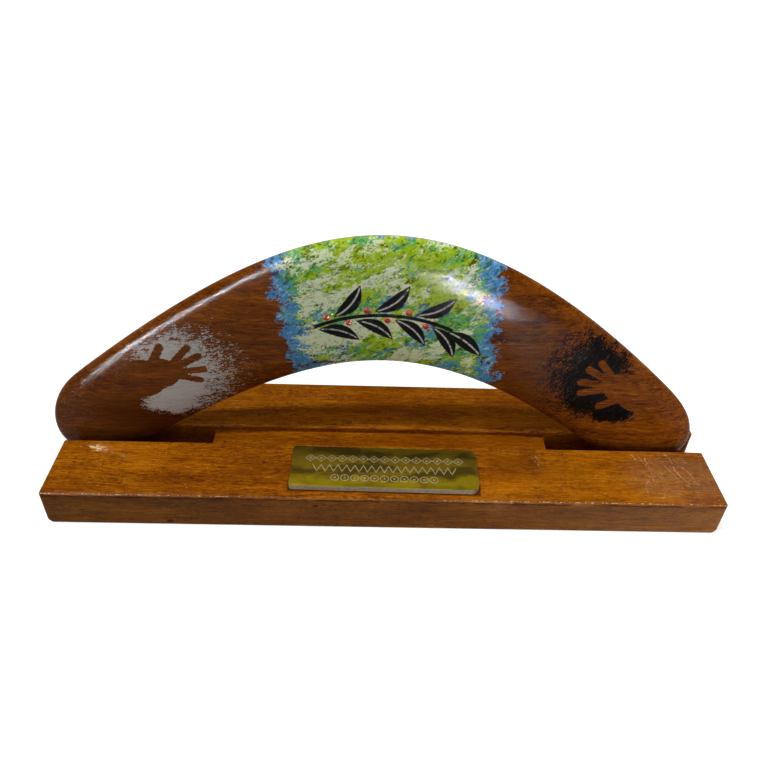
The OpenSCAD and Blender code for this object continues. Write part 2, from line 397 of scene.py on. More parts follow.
# The next two paint light: a reflected sheen on the top's right end, and a paler front
RIGHT_SHEEN_OVAL = ((BASE_HALF_LENGTH - 14, -24, BASE_HEIGHT - 6), (26, 16, 12), 0.5)
FRONT_LIGHT_OVAL = ((BASE_HALF_LENGTH - 14, 0, 8), (60, 0, 12), 0.7)
HAIRLINES = ((129, -21, BASE_HEIGHT), (14, 14, 3), 0.6)
# Brightest middle of the streaks of painted reflection
REFLECTION_CORE = ((-134, -11.2, BASE_HEIGHT), (4.5, 4, 3), 0.9)
LOW_DENT = ((-96.4, 0, 2.6), (1.4, 0, 0.8), 0.5)
HIGH_DENT = ((-31.6, 0, 14), (1, 0, 0.6), 0.5)
SCUFF = ((48, -BASE_HALF_DEPTH, 14), (7, 2, 2.4), 0.8)


def finish_base():
    """Orange-brown timber of the base under a satin varnish, scratched at the right end, with
    dents in its front, and painted light: a reflection streak at the left end, sparkles and a
    sheen on the top, a paler front, shade in its hollows and round the plaque, and highlights
    along the front edge, dented like chips"""
    settings = bpy.context.scene.stand_settings
    finish = Finish("varnished_base")
    point = finish.object_point()
    colour, tone, pores = timber(finish, point, settings, *BASE_GRAIN)
    mottle = finish.noise(along_grain(finish, point, 30, 13), detail=2)
    colour = finish.blend(mottle.step(0.4, 0.7) * 0.4, colour, settings.dark_wood)
    colour = finish.blend(mottle.step(0.45, 0.28) * 0.3, colour, settings.light_wood)
    colour = finish.blend(spot(finish, point, *PALE) * 0.18, colour, settings.light_wood)
    colour = finish.blend(spot(finish, point, *DUSKY) * 0.3, colour, settings.dark_wood)
    x, y, z = finish.split(point)
    drop, inset = BASE_HEIGHT - z, y + BASE_HALF_DEPTH
    top = z.step(BASE_HEIGHT - 1, BASE_HEIGHT - 0.4)

    # A brown smudge beside the plaque, and painted light: a pale reflected sheen on the right
    # end of the top, and the whole front paler, most towards its right end
    cloud = finish.noise(point, 0.16, detail=3)
    smudge = spot(finish, point, *SMUDGE) * cloud.step(0.15, 0.5)
    colour = finish.blend(smudge * 0.5, colour, settings.pore)
    sheen_and_scuff = spot(finish, point, *RIGHT_SHEEN_OVAL) * (cloud + 0.1).step(0.3, 0.65) * 0.14
    painted_front_light = inset.step(1, 0) * (spot(finish, point, *FRONT_LIGHT_OVAL) + 1) * 0.09
    colour = finish.blend(sheen_and_scuff.most(painted_front_light), colour, settings.sheen_and_scuff)

    # Scratches and hairlines in the varnish of the top, and painted reflections on it: a broad
    # streak near the left end and bright sparkles
    rough = finish.noise(point, 0.8, detail=2, roughness=0.7)
    lines = finish.join((x + y * 0.35) * 1.9, y * 0.2, 0)
    lines = finish.noise(lines, detail=1, roughness=0.6).step(0.66, 0.73)
    lines = lines * spot(finish, point, *HAIRLINES)
    marks = tapering_strokes(finish, point, SCRATCHES) * rough.step(0.42, 0.56)
    marks = marks.most(lines * 0.8) * top
    colour = finish.blend(marks * 0.5, colour, settings.worn)
    # A broad streak of painted reflection near the left end, broken by grit, brightest at its core
    core = spot(finish, point, *REFLECTION_CORE)
    grit = finish.noise(along_grain(finish, point, 1.6, 0.4), detail=2, roughness=0.7)
    painted_reflection = tapering_strokes(finish, point, REFLECTION_STREAKS) * (core * 0.5 + 0.5) + (grit - 0.5) * 3.4
    painted_reflection = painted_reflection.step(0.45, 1.25) * (core * 0.5 + 0.5) * top
    # Bright sparkles scattered over the top: painted highlights
    painted_sparkles = finish.noise(point, 1.5, detail=0).step(0.875, 0.9) * top * 0.55
    colour = finish.blend((painted_reflection * 0.9).most(painted_sparkles), colour, settings.worn)

    # Painted shade round the plaque and down in the groove and pockets, and the rear rail darker
    _, along, beside = plaque_place(finish)
    # Painted shade round the plaque
    plaque_contact_shade = (abs(along) - PLAQUE_HALF_LENGTH).most(abs(beside) - PLAQUE_HALF_WIDTH)
    colour = finish.blend(plaque_contact_shade.step(1.2, 0.2) * 0.75, colour, settings.pore)
    outward = abs(y) - BASE_HALF_DEPTH
    # Painted shade down in the groove and pockets
    hollow_shade = drop.step(0.3, 0.9) * (outward + 6).step(1, -1)
    colour = finish.blend(hollow_shade * 0.35, colour, settings.dark_wood)
    colour = finish.blend(y.step(8, 14) * 0.18, colour, settings.dark_wood)

    # Two dents and a scuff on the front, and a broken dark line of painted shade below the rounding
    # of its upper edge
    dents = spot(finish, point, *LOW_DENT).most(spot(finish, point, *HIGH_DENT))
    colour = finish.blend(dents * 0.85, colour, settings.pore)
    scuff = finish.noise(along_grain(finish, point, 3, 0.35), detail=2).step(0.5, 0.62)
    colour = finish.blend(spot(finish, point, *SCUFF) * scuff * 0.3, colour, settings.sheen_and_scuff)
    # A broken dark line of painted shade under the rounded upper edge of the front
    below = abs(BASE_ROUND - drop).step(0.9, 0.1) * outward.step(-0.8, -0.2)
    broken = finish.noise(along_grain(finish, point, 7, 1.4), detail=2).step(0.34, 0.56)
    colour = finish.blend(below * broken * 0.7, colour, settings.pore)

    # Painted highlights along the front edge: pale dashes, which the bump also dents like chips,
    # with fewer of them in front of the plaque
    arris = abs(drop - inset).step(0.32, 0.06) * (drop + inset).step(1.6, 1.2)
    dashes = finish.noise(along_grain(finish, point, 1.3, 2), detail=2, roughness=0.8)
    often = abs(x + 20).step(35, 60) * 0.75 + 0.25
    chips_and_glints = arris * dashes.step(0.5, 0.62) * often
    colour = finish.blend(chips_and_glints * 0.75, colour, settings.worn)

    ripple = finish.noise(point, 1.0, detail=1)
    height = tone * 0.35 + ripple * 0.7 - pores * 0.5 - marks * 0.6 - dents - chips_and_glints * 0.5
    return finish.surface(Base_Color=colour, Roughness=0.2 + pores * 0.3 + marks * 0.2,
                          Specular_IOR_Level=BASE_SHINE, Normal=finish.bump(height, 0.12))


class BOOMERANG_OT_finish_stand(bpy.types.Operator):
    """Gives the base its varnished timber"""
    bl_idname = "boomerang.finish_stand"
    bl_label = "Finish Stand"

    def execute(self, context):
        node = frame["nodes"]["base"]
        node.data.materials.clear()
        node.data.materials.append(finish_base())
        return {"FINISHED"}


# ---------------------------------------------------------------- blade

def blade_place(finish):
    """Place on the blade in millimetres: along the base, back through the blade, and up its lean"""
    point = finish.object_point()
    across = finish.split(point)[0]
    depth = finish.vector("DOT_PRODUCT", point, tuple(BACK))
    height = finish.vector("DOT_PRODUCT", point, tuple(UP))
    return finish.join(across, depth, height), across, depth, height


def bar(finish, place, start, angle, length, radius):
    """Signed distance to a bar with round ends, drawn on the blade; negative inside"""
    turn = radians(angle)
    offset = finish.vector("SUBTRACT", place, (start[0], 0, start[1]))
    along = finish.vector("DOT_PRODUCT", offset, (cos(turn), 0, sin(turn)))
    side = finish.vector("DOT_PRODUCT", offset, (-sin(turn), 0, cos(turn)))
    past = (abs(along - length / 2) - length / 2).most(0)
    return finish.vector("LENGTH", finish.join(past, side, 0)) - radius


# An open hand, in millimetres and degrees from its palm's middle. Palm and wrist: start along the
# hand, length and radius. Fingers: spread, reach and radius. Thumb: place along and beside the
# palm, spread, length and radius
PALM = (-9, 9, 7.2)
WRIST = (-34, 24, 9.5)
FINGERS = ((29, 19.5, 1.5), (10.5, 20.5, 1.6), (-11, 20, 1.55), (-30, 18, 1.45))
KNUCKLES = 5
THUMB = (-4, 4.5, 44, 11, 1.8)

# Stencils on the blade, in millimetres and degrees: the palm's middle and the hand's angle, the
# middle and radii of the paint round it, the middle of the paint below it, the slant of the
# paint's hairs, and 1 or -1 where they reach further along X or against it
LEFT_STENCIL = ((-101, 54), 19, (-94, 54), (18.5, 18.5), (-99, 38), 10, 1)
RIGHT_STENCIL = ((105, 51.5), 161, (89.5, 56), (17.5, 20), (103, 38.5), 65, -1)
LOBE_RADII = (12, 6.5)


def hand(finish, place, palm, angle):
    """Signed distance to an open hand with its thumb to the left of the fingers"""
    turn = radians(angle)

    def reach(along, off):
        return (palm[0] + along * cos(turn) - off * sin(turn),
                palm[1] + along * sin(turn) + off * cos(turn))

    start, length, radius = PALM
    shape = bar(finish, place, reach(start, 0), angle, length, radius)
    start, length, radius = WRIST
    wrist = bar(finish, place, reach(start, 0), angle, length, radius)
    shape = finish.maths("SMOOTH_MIN", shape, wrist, 3)
    for spread, tip, radius in FINGERS:
        start = reach(KNUCKLES * cos(radians(spread)), KNUCKLES * sin(radians(spread)))
        finger = bar(finish, place, start, angle + spread, tip - KNUCKLES - radius, radius)
        shape = finish.maths("SMOOTH_MIN", shape, finger, 1.2)
    along, off, spread, length, radius = THUMB
    thumb = bar(finish, place, reach(along, off), angle + spread, length, radius)
    return finish.maths("SMOOTH_MIN", shape, thumb, 1.5)


def oval(finish, place, centre, radii):
    """Place on the blade as seen from an oval's middle, in radii"""
    offset = finish.vector("SUBTRACT", place, (centre[0], 0, centre[1]))
    return finish.vector("MULTIPLY", offset, (1 / radii[0], 0, 1 / radii[1]))


def stencil(finish, place, speckle, palm, angle, centre, radii, lobe, slant, drift):
    """Coverage of paint dabbed round a hand, solid by the hand and broken into hairs further out"""
    shape = hand(finish, place, palm, angle)
    patches = dabs(finish, place, 6, 55, slant, 1)
    hairs = dabs(finish, place, 0.6, 60, slant, 2, 0.5, 7)
    offset = oval(finish, place, centre, radii)
    below = oval(finish, place, lobe, LOBE_RADII)
    ragged = 1.1 + (finish.split(offset)[0] * drift).step(-0.1, 0.8) * 1.7
    nearest = finish.vector("LENGTH", offset).least(finish.vector("LENGTH", below))
    density = 1.25 - nearest + (patches - 0.5) * 0.9
    cover = (density + (hairs - 0.5) * ragged + (speckle - 0.5) * ragged).step(0.16, 0.3)
    cover = cover * (1 - hairs.step(0.6, 0.7) * 0.6)
    return cover * (shape + (speckle - 0.5) * 1.8).step(0.0, 0.3)


# The sprig, in millimetres and degrees: a stem curved about a centre below the arch, with leaves
# to both sides and one at its end. Leaves: place along the stem, angle, length, width and bend
STEM_CENTRE = (-4, 16)
STEM_RADIUS = 70
STEM_SPAN = 26
LOWER_LEAVES = [(turn, -38 - turn, 19, 6.5, 0.7) for turn in (-23, -9, 5, 19)]
UPPER_LEAVES = [(turn, 38 - turn, 19, 6.5, -0.7) for turn in (-16, -2, 12)]
END_LEAF = (STEM_SPAN - 2, -STEM_SPAN - 12, 20, 7, 0.4)


def stem_point(turn, rise=0):
    """Place on the stem, turn degrees right of its top, raised by rise"""
    radius = STEM_RADIUS + rise
    angle = radians(turn)
    return STEM_CENTRE[0] + radius * sin(angle), STEM_CENTRE[1] + radius * cos(angle)


def leaf(finish, place, turn, angle, length, width, bend):
    """How far inside a sickle-shaped leaf a place is, from 1 at its middle to 0 at its edge, and
    how far across the leaf it is"""
    root = stem_point(turn)
    course, side = cos(radians(angle)) * 2, sin(radians(angle)) * 2
    offset = finish.vector("SUBTRACT", place, (root[0], 0, root[1]))
    along = finish.vector("DOT_PRODUCT", offset, (course / length, 0, side / length)) - 1
    across = finish.vector("DOT_PRODUCT", offset, (-side / width, 0, course / width))
    across = across + along * along * bend
    return 1 - along * along - abs(across), abs(across)


def sprig(finish, place, ragged):
    """Masks of the sprig's dark leaves and stem, and of their pale veins"""
    flat = finish.vector("MULTIPLY", place, (1, 0, 1))
    away = finish.vector("DISTANCE", flat, (STEM_CENTRE[0], 0, STEM_CENTRE[1]))
    ends = [STEM_RADIUS * sin(radians(span)) for span in (STEM_SPAN, STEM_SPAN - 1)]
    limit = abs(finish.split(place)[0] - STEM_CENTRE[0]).step(*ends)
    dark = abs(away - STEM_RADIUS).step(1.0, 0.7) * limit
    veins = 0
    for row in (*LOWER_LEAVES, *UPPER_LEAVES, END_LEAF):
        inside, off = leaf(finish, flat, *row)
        dark = dark.most((inside + (ragged - 0.5) * 0.25).step(0.0, 0.08))
        veins = (inside.step(0.16, 0.3) * off.step(0.16, 0.05)).most(veins)
    return dark, veins


def dabs(finish, place, size, shift, slant, detail, spread=1.0, stretch=1.8):
    """Noise in short ragged strokes at a slant in degrees, as a sponge leaves; each shift gives
    another pattern"""
    turned = finish.node("ShaderNodeVectorRotate", {"rotation_type": "Y_AXIS"},
                         {"Vector": place, "Angle": radians(slant)})
    moved = finish.vector("ADD", turned, (shift, shift, shift))
    drawn = finish.vector("MULTIPLY", moved, (1 / (size * stretch), 1 / (size * 3), 1 / size))
    return finish.noise(drawn, detail=detail, roughness=0.7, distortion=spread)


# Green, leaf green and cream coats of the patch: size of the dabs in millimetres, shift of their
# pattern and slant in degrees
COATS = ((12, 71, 30), (11, 23, 25), (10, 157, 20))

# Painted shade on the blade, darker brown low on the left arm and beside the patch on the right
# arm, each an oval: its centre and radii in millimetres, and how softly it ends
LEFT_SHADE_OVAL = ((-108, 0, 28), (38, 0, 14), 0.8)
RIGHT_SHADE_OVAL = ((62, 0, 60), (14, 0, 20), 0.8)


def finish_blade():
    """Red-brown timber with dabbed paint, a sprig and two stencils under a gloss varnish"""
    wood = bpy.context.scene.blade_settings
    paint = bpy.context.scene.paint_settings
    finish = Finish("painted_blade")
    place, across, depth, height = blade_place(finish)
    colour, tone, pores = timber(finish, place, wood, *BLADE_GRAIN)
    # Painted shade, darker brown low on the left arm and beside the patch
    painted_shade = spot(finish, place, *LEFT_SHADE_OVAL).most(spot(finish, place, *RIGHT_SHADE_OVAL) * 0.5)
    colour = finish.blend(painted_shade * 0.8, colour, wood.dark_wood)

    # Fine strokes that break up every edge of the paint
    speckle = dabs(finish, place, 0.55, 40, 24, 2, 0.3)
    streak = dabs(finish, place, 1.5, 90, 0, 3, 0.3)
    ragged = dabs(finish, place, 1.2, 11, 32, 3, 0.5)
    fine = speckle * 0.45 + ragged * 0.55
    front = (depth + speckle * 1.6).step(paint.front_edge + 1.6, paint.front_edge + 0.9)

    # Four coats of the patch, each dabbed over the one before
    inset = paint.patch_half - abs(across - paint.patch_middle)
    inset = inset + (height - 84) * across.step(20, -20) * 0.22
    border = inset + (dabs(finish, place, 8, 3, 0, 2, 0.3) - 0.5) * 26 + (streak - 0.5) * 20
    border = border + (speckle - 0.5) * 10
    middle = (border - 6).step(-4, 6) * 0.14
    lift = (height - 90) * 0.001
    patch = border.step(-0.5, 0.5) * (fine + inset.step(0, 12) * 0.2).step(0.32, 0.36) * front
    deep, leafy, creamy = (dabs(finish, place, size, shift, slant, 4, 0.4) * 0.66 + fine * 0.34
                           + middle for size, shift, slant in COATS)
    deep, leafy = (deep + lift).step(0.59, 0.61), (leafy + lift).step(0.62, 0.64)
    creamy = (creamy - lift * 0.4 - across * 0.0008).step(0.66, 0.68)
    coat = finish.blend(deep, paint.blue, paint.deep_green)
    coat = finish.blend(leafy, coat, paint.leaf_green)
    coat = finish.blend(creamy, coat, paint.cream)
    shade = dabs(finish, place, 1.8, 201, 28, 3)
    coat = finish.blend(shade.step(0.56, 0.64) * 0.45, coat, paint.cream)
    coat = finish.blend(shade.step(0.48, 0.37) * (0.8 - creamy * 0.4), coat, paint.shadow)
    gaps = dabs(finish, place, 7, 310, 15, 3, 0.4) * 0.7 + fine * 0.3 + creamy * 0.06
    coat = finish.blend(gaps.step(0.425, 0.395) * 0.85, coat, wood.dark_wood)
    colour = finish.blend(patch, colour, coat)

    # The sprig on the patch, and the stencils, of which the left one's thin paint shows the grain
    dark, veins = sprig(finish, place, ragged)
    dark = dark * front
    colour = finish.blend(dark, colour, paint.black)
    colour = finish.blend(veins * ragged.step(0.35, 0.5) * front, colour, paint.white)
    left = stencil(finish, place, speckle, *LEFT_STENCIL) * front
    right = stencil(finish, place, speckle, *RIGHT_STENCIL) * front
    colour = finish.blend(left * (0.62 + tone.step(0.4, 0.52) * 0.24), colour, paint.white)
    colour = finish.blend(right, colour, paint.black)

    # Height: paint over the timber's grain, and the varnish's fine orange peel over both
    painted = patch.most(dark).most(left).most(right)
    layers = deep * 0.2 + leafy * 0.3 + creamy * 0.5 + ragged * 0.9 + dark * 0.3
    peel = finish.noise(place, 0.9, detail=1, roughness=0.4) * 0.5
    peel = peel + finish.cells(place, 0.8).step(0.34, 0.05) * 0.35
    timber_height = tone * 0.35 - pores * 0.5
    rise = painted * (0.2 + layers * 0.5) + (1 - painted) * timber_height + peel
    return finish.surface(Base_Color=colour, Roughness=0.07 + pores * 0.25 + painted * 0.03,
                          Specular_IOR_Level=BLADE_SHINE, Normal=finish.bump(rise, 0.13))


# Raised dots along the sprig: degrees along the stem, and rise above it and radius in millimetres
BERRIES = ((-19.5, 2.4, 1.4), (-12.5, -2.4, 1.3), (-5.5, 2.4, 1.4), (1.5, -2.4, 1.3),
           (8.5, 2.4, 1.4), (15.5, -2.4, 1.3))
SMALL_DOTS = ((-17.2, 3.1, 0.6), (-10.2, -3.0, 0.6), (-3.2, 3.1, 0.6), (3.8, -3.0, 0.6),
              (10.8, 3.1, 0.6), (17.8, -3.0, 0.6), (-25.6, 0.2, 0.7), (-27.3, 1.6, 0.55),
              (-27.5, -1.2, 0.55))

# Height of a dot as a share of its radius
DOT_RISE = 0.38


def add_dots(name, blade_surface, rows, colour):
    """Raised dots of one paint that sit on the blade's front, as one piece"""
    shape = bmesh.new()
    for turn, rise, radius in rows:
        across, height = stem_point(turn, rise)
        start = Vector((across, 0, 0)) * MM + UP * height * MM + FRONT * 0.1
        spot_on, normal, _, _ = blade_surface.ray_cast(start, BACK)
        turned = Vector((0, 0, 1)).rotation_difference(normal).to_matrix().to_4x4()
        flat = Matrix.Diagonal((1, 1, DOT_RISE, 1))
        bmesh.ops.create_icosphere(shape, subdivisions=3, radius=radius * MM,
                                   matrix=Matrix.Translation(spot_on) @ turned @ flat)
    for face in shape.faces:
        face.smooth = True
    mesh = bpy.data.meshes.new(name)
    shape.to_mesh(mesh)
    shape.free()
    dots = bpy.data.objects.new(name, mesh)
    bpy.context.scene.collection.objects.link(dots)
    finish = Finish(name + "_paint")
    place = finish.object_point()
    swirl = finish.noise(place, 1.6, detail=3)
    mixed = finish.blend(swirl.step(0.3, 0.7), tuple(part * 0.6 for part in colour), tuple(colour))
    mesh.materials.append(finish.surface(Base_Color=mixed, Roughness=0.16 + swirl * 0.1,
                                         Specular_IOR_Level=0.15,
                                         Normal=finish.bump(swirl, 0.12)))
    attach(dots, "boomerang")


# The blade's loose triangles: the gap across which corners merge, in metres, and how far two
# triangles may differ and still make one four-sided face
MERGE_DISTANCE = 0.02 * MM
QUAD_ANGLE = radians(40)


class BOOMERANG_OT_dress_blade(bpy.types.Operator):
    """Makes the smooth blade from its solid, and gives it its finish"""
    bl_idname = "boomerang.dress_blade"
    bl_label = "Dress Blade"

    def execute(self, context):
        node = frame["nodes"]["boomerang"]
        mesh = bpy.data.meshes.new("blade")
        shape = bmesh.new()
        shape.from_mesh(node.data)
        bmesh.ops.remove_doubles(shape, verts=shape.verts, dist=MERGE_DISTANCE)
        bmesh.ops.join_triangles(shape, faces=shape.faces, angle_face_threshold=QUAD_ANGLE,
                                 angle_shape_threshold=QUAD_ANGLE)
        for face in shape.faces:
            face.smooth = True
        shape.to_mesh(mesh)
        shape.free()
        blade = bpy.data.objects.new("blade", mesh)
        context.scene.collection.objects.link(blade)
        smoother = blade.modifiers.new("smooth", "SUBSURF")
        smoother.levels = context.scene.blade_settings.smoothing
        smoother.render_levels = context.scene.blade_settings.smoothing
        mesh.materials.append(finish_blade())
        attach(blade, "boomerang")
        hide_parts("boomerang")
        return {"FINISHED"}


class BOOMERANG_OT_add_dots(bpy.types.Operator):
    """Puts the raised red and yellow dots on the blade's sprig"""
    bl_idname = "boomerang.add_dots"
    bl_label = "Add Dots"

    def execute(self, context):
        blade = bpy.data.objects["blade"]
        surface = BVHTree.FromObject(blade, context.evaluated_depsgraph_get())
        paint = context.scene.paint_settings
        add_dots("berries", surface, BERRIES, paint.red)
        add_dots("small_dots", surface, SMALL_DOTS, paint.yellow)
        return {"FINISHED"}


# ---------------------------------------------------------------- plaque

def plaque_place(finish):
    """Place in millimetres, and from the plaque's middle along it and across it to the back"""
    point = finish.object_point()
    course, side = cos(PLAQUE_TURN), sin(PLAQUE_TURN)
    offset = finish.vector("SUBTRACT", point, tuple(PLAQUE_MIDDLE / MM))
    along = finish.vector("DOT_PRODUCT", offset, (course, side, 0))
    across = finish.vector("DOT_PRODUCT", offset, (-side, course, 0))
    return point, along, across


# Engraved rows on the plaque, in millimetres: distance between two marks, place across the plaque
# and half the row's length
LOZENGES = (4.8, 4.9, 36.1)
ZIGZAG = (3.8, -1.25, 32.4)
RINGS = (4.4, -7.1, 24.3)
LINE = 0.16


def row_of(finish, along, across, row):
    """Place from the middle of the nearest mark of a row, and the row's extent as a mask"""
    period, level, half_length = row
    place = (finish.maths("FRACT", along / period + 0.5) - 0.5) * period
    return place, across - level, abs(along).step(half_length, half_length - 0.1)


def ornament(finish, along, across):
    """Three engraved rows: lozenges, a zigzag, and rings with dots"""
    place, off, extent = row_of(finish, along, across, LOZENGES)
    lozenges = abs(abs(place) + abs(off) * 1.05 - 2.15).step(LINE * 1.9, LINE * 1.2)
    lozenges = lozenges.most((abs(place) + abs(off)).step(0.8, 0.55)) * extent
    place, off, extent = row_of(finish, along, across, ZIGZAG)
    zigzag = abs(abs(place) * 2.1 - 2 - off).step(LINE * 3.4, LINE * 2.4) * extent
    place, off, extent = row_of(finish, along, across, RINGS)
    away = finish.vector("LENGTH", finish.join(place, off, 0))
    rings = abs(away - 1.75).step(LINE * 1.5, LINE * 0.9).most(away.step(0.55, 0.4)) * extent
    return lozenges.most(zigzag).most(rings)


def finish_face():
    """Polished gold film, engraved through to the pale core and worn at its edges, with its
    reflection painted: bright towards the front, dim and blotched towards the boomerang
    """
    settings = bpy.context.scene.plaque_settings
    finish = Finish("gold_face")
    point, along, across = plaque_place(finish)
    # Painted reflection: bright gold towards the front, deep gold in clouds towards the boomerang
    cloud = finish.noise(point, 0.09, detail=3)
    painted_dim_reflection = (cloud - (across + 7) * 0.03).step(0.62, 0.4)
    colour = finish.blend(painted_dim_reflection, settings.bright_gold, settings.deep_gold)
    # Painted reflection: dark blotches, fewer along the front edge
    painted_dark_reflections = finish.noise(finish.vector("MULTIPLY", point, (0.06, 0.17, 0.17)), detail=3)
    painted_dark_reflections = painted_dark_reflections.step(0.46, 0.62) * (0.35 + across.step(-11, -6) * 0.5)
    colour = finish.blend(painted_dark_reflections, colour, tuple(part * 0.3 for part in settings.deep_gold))
    wear = finish.noise(point, 1.1, detail=4, roughness=0.7)
    engraved = ornament(finish, along, across) * wear.step(0.3, 0.42)
    edge_gap = (PLAQUE_HALF_LENGTH - abs(along)).least(PLAQUE_HALF_WIDTH - abs(across))
    worn = (wear - edge_gap * 0.6).step(0.5, 0.56)
    corner = spot(finish, finish.join(along, across, 0),
                  (-PLAQUE_HALF_LENGTH + 2, -PLAQUE_HALF_WIDTH + 0.2, 0), (4, 0.7, 0), 0.5)
    worn = worn.most(corner * wear.step(0.48, 0.54))
    bare = engraved.most(worn)
    colour = finish.blend(worn * 0.75, colour, settings.core)
    colour = finish.blend(engraved * 0.85, colour, settings.engraving)
    dust = finish.noise(point, 3.0, detail=1).step(0.74, 0.78)
    colour = finish.blend(dust * 0.6, colour, settings.core)
    roll = finish.noise(finish.vector("MULTIPLY", point, (0.05, 0.3, 0.3)), detail=2)
    return finish.surface(Base_Color=colour, Metallic=(1 - bare) * 0.85,
                          Roughness=0.28 + painted_dim_reflection * 0.06 + bare * 0.3 + dust * 0.3,
                          Normal=finish.bump(roll * 0.4 - engraved * 0.8, 0.05))


def finish_core():
    """Pale plastic of the plaque, with the saw's fine marks along its edge"""
    settings = bpy.context.scene.plaque_settings
    finish = Finish("pale_core")
    point = finish.object_point()
    saw = finish.noise(along_grain(finish, point, 9, 0.25), detail=2)
    grime = finish.noise(point, 0.5, detail=3).step(0.4, 0.75)
    colour = finish.blend(saw.step(0.35, 0.7) * 0.35, settings.core, settings.grime)
    colour = finish.blend(grime * 0.5, colour, settings.grime)
    return finish.surface(Base_Color=colour, Roughness=0.5 + grime * 0.15,
                          Specular_IOR_Level=0.3, Normal=finish.bump(saw, 0.08))


def finish_tape():
    """Dark foam tape under the plaque"""
    settings = bpy.context.scene.plaque_settings
    finish = Finish("foam_tape")
    point = finish.object_point()
    foam = finish.cells(point, 2.2)
    colour = finish.blend(foam.step(0.2, 0.7), settings.tape, settings.grime)
    return finish.surface(Base_Color=colour, Roughness=0.8 + foam * 0.1, Specular_IOR_Level=0.1,
                          Normal=finish.bump(foam, 0.1))


class BOOMERANG_OT_finish_plaque(bpy.types.Operator):
    """Gives the three layers of the plaque their finishes"""
    bl_idname = "boomerang.finish_plaque"
    bl_label = "Finish Plaque"

    def execute(self, context):
        for name, finisher in (("plaque_face", finish_face), ("plaque_core", finish_core),
                               ("plaque_tape", finish_tape)):
            node = frame["nodes"][name]
            node.data.materials.clear()
            node.data.materials.append(finisher())
        return {"FINISHED"}


# ---------------------------------------------------------------- stage

# The camera stands above and in front of the plaque and looks down at the stand. Its lens is in
# millimetres, and its shift is half a pixel of the square frame
CAMERA_PLACE = Vector((-11.7, -253.5, 251.9)) * MM
CAMERA_PITCH = radians(38.38)
CAMERA_YAW = radians(2.11)
CAMERA_ROLL = radians(2.60)
CAMERA_LENS = 33.66
CAMERA_SENSOR = 36
CAMERA_SHIFT = 0.5 / 768


def add_camera():
    """Camera at its viewing angle"""
    data = bpy.data.cameras.new("camera")
    data.sensor_width = CAMERA_SENSOR
    data.lens = CAMERA_LENS
    data.shift_x, data.shift_y = -CAMERA_SHIFT, CAMERA_SHIFT
    camera = bpy.data.objects.new("camera", data)
    level = Matrix.Rotation(-CAMERA_YAW, 4, "Z") @ Matrix.Rotation(pi / 2 - CAMERA_PITCH, 4, "X")
    placed = Matrix.Translation(CAMERA_PLACE) @ level
    camera.matrix_world = placed @ Matrix.Rotation(CAMERA_ROLL, 4, "Z")
    bpy.context.scene.collection.objects.link(camera)
    bpy.context.scene.camera = camera


def add_lamp(name, kind, place, aim, energy, size, width=None, along=(1, 0, 0)):
    """A lamp at place that points at aim: a sun, whose size is an angle, or an area lamp, whose
    size is laid along a direction"""
    data = bpy.data.lights.new(name, kind)
    data.energy = energy
    if kind == "AREA":
        data.shape = "RECTANGLE"
        data.size = size
        data.size_y = width or size
    else:
        data.angle = size
    away = (Vector(place) - Vector(aim)).normalized()
    side = (Vector(along) - away * away.dot(Vector(along))).normalized()
    turned = Matrix((side, away.cross(side), away)).transposed().to_4x4()
    lamp = bpy.data.objects.new(name, data)
    lamp.matrix_world = Matrix.Translation(place) @ turned
    bpy.context.scene.collection.objects.link(lamp)
    return lamp


# The sun and the soft light overhead: place in metres, and the sun's angle or the light's size
KEY = ((-0.33, -0.12, 1), radians(3))
SOFTBOX = ((0, -0.2, 2.2), 2.4)

# Lamps that lighten the fronts: place and aim in metres, power in watts and size in metres. No
# reflection shows them
FILLS = (
    ("front_fill", (-0.3, -2.2, 0.5), (0, 0, 0.05), 5.3, 1.6),
    ("end_fill", (0.26, -0.17, 0.05), (0.12, -0.02, 0.02), 0.2, 0.1),
)

# Tubes that draw the glints on the varnish, and two broad ones for the sheen round them: the two
# ends of each, the place that it faces and its width in metres, and its power in watts. They show
# only as reflections, so that the colours and shadows stay those of the other lamps
GLINTS = (
    ("left_glint", (-0.47, -0.44, 0.06), (-0.285, -0.44, 0.26), (-0.09, 0, 0.085), 0.012, 10),
    ("left_sheen", (-0.47, -0.44, 0.06), (-0.285, -0.44, 0.26), (-0.09, 0, 0.085), 0.07, 3.8),
    ("tip_glint", (-0.28, -0.2, 0.014), (-0.309, -0.2, 0.096), (-0.12, 0, 0.06), 0.008, 0.9),
    ("top_glint", (-0.285, -0.44, 0.27), (-0.4, -0.44, 0.72), (-0.035, 0, 0.112), 0.016, 14),
    ("right_glint", (0.066, -0.3, 0.066), (0.127, -0.3, 0.016), (0.045, 0, 0.09), 0.0045, 3.8),
    ("right_sheen", (0.07, -0.3, 0.063), (0.143, -0.3, 0.006), (0.045, 0, 0.09), 0.03, 0.1),
    ("edge_glint", (-0.65, 0.25, 0.95), (0.65, 0.25, 0.95), (0, 0, 0), 0.03, 9),
)


# Greys of the floor: the one that the camera and reflections see, which its own light lifts to
# white, and the one that light bounces off
FLOOR_SHOWN = (0.6, 0.6, 0.6)
FLOOR_PLAIN = (0.11, 0.11, 0.11)
FLOOR_SIDES = 96


